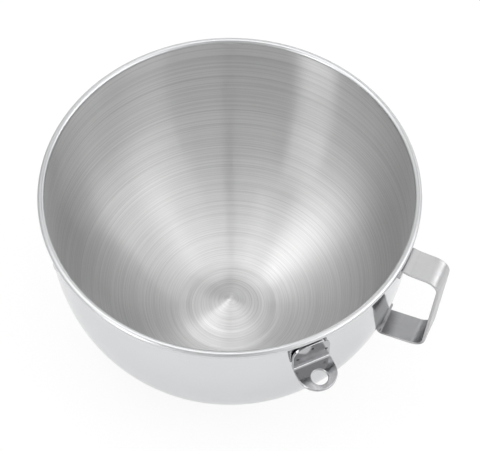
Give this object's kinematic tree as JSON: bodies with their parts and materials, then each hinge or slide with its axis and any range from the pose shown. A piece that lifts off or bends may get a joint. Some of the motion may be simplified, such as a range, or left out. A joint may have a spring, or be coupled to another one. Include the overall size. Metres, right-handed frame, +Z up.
{
  "type": "stand mixer bowl",
  "caption": "Wide stainless steel mixing bowl with a rolled rim, a raised cone in the base, a strap handle, side brackets with locating holes and a rear button.",
  "frame": {"origin": "on the bowl's axis, in the plane that the base's standing ring rests on", "axes": "+Z up along the bowl's axis; the side brackets lie on -X and +X, the rear button on +Y and the handle between -X and -Y"},
  "size_m": [0.278, 0.24, 0.1463],
  "materials": {
    "polished_steel": "mirror polished outside, brushed round inside",
    "satin_steel": "satin",
    "bracket_steel": "polished",
    "pin_steel": "satin"
  },
  "bodies": {
    "root": {"bowl": "polished_steel", "handle": "satin_steel", "left_bracket": "bracket_steel", "right_bracket": "bracket_steel", "rear_pin": "pin_steel"}
  },
  "joints": []
}
